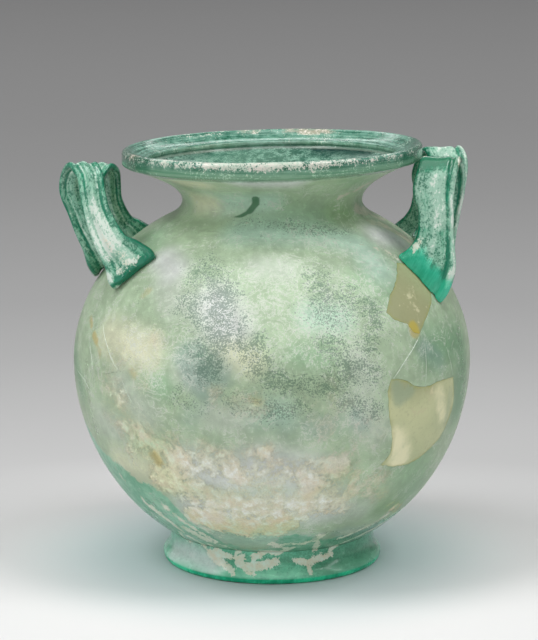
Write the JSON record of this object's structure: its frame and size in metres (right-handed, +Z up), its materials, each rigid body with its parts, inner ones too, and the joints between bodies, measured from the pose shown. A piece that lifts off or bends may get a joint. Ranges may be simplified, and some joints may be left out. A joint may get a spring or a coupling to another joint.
{
  "type": "cinerary urn",
  "caption": "Globular blown glass urn with a flaring folded rim, splayed foot ring and M-shaped strap handles on the shoulder, broken and mended.",
  "frame": {"origin": "middle of the overall box on the resting plane; the urn's axis is 3 mm to +X of it, because the left handle reaches further out", "axes": "+Z up, +X towards the right handle, -Y towards the viewer of the picture"},
  "size_m": [0.2328, 0.2274, 0.2421],
  "materials": {
    "blown_glass": "weathered bluish green glass with silvery patina and soil",
    "thick_glass": "saturated green thick glass, patches of silvery weathering",
    "resin_fill": "translucent khaki restoration resin, satin"
  },
  "bodies": {
    "root": {"vessel_body": "blown_glass", "sherd_left": "blown_glass", "sherd_right_front": "blown_glass", "sherd_right_side": "blown_glass", "foot_ring": "thick_glass", "handle_left": "thick_glass", "handle_right": "thick_glass", "fill_upper": "resin_fill", "fill_lower": "resin_fill"}
  },
  "joints": []
}
